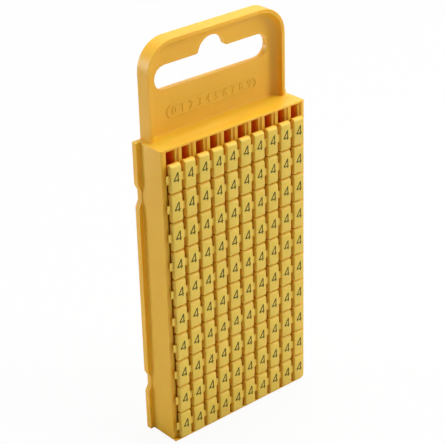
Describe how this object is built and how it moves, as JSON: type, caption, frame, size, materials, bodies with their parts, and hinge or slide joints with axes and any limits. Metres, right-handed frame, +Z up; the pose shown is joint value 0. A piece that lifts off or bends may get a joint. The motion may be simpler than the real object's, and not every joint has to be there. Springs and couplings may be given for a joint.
{
  "type": "clip-on cable marker dispenser card",
  "caption": "Moulded plastic hanging card whose upright channels hold strips of clip-on cable markers, each printed with the same figure.",
  "frame": {"origin": "middle of the base that the card stands on, half way between the printed faces and the back plate", "axes": "+X across the card to the right seen from the front, +Y from the printed faces to the back plate, +Z up towards the hang tab"},
  "size_m": [0.044, 0.0102, 0.0963],
  "materials": {
    "carrier_plastic": "satin golden yellow moulded plastic",
    "marker_plastic": "satin yellow moulded plastic, a little paler and greener than the card",
    "print_ink": "dark printed figure"
  },
  "bodies": {
    "root": {"tray": "carrier_plastic", "marker_strip_01": "marker_plastic", "marker_strip_02": "marker_plastic", "marker_strip_03": "marker_plastic", "marker_strip_04": "marker_plastic", "marker_strip_05": "marker_plastic", "marker_strip_06": "marker_plastic", "marker_strip_07": "marker_plastic", "marker_strip_08": "marker_plastic", "marker_strip_09": "marker_plastic", "marker_strip_10": "marker_plastic"}
  },
  "joints": []
}
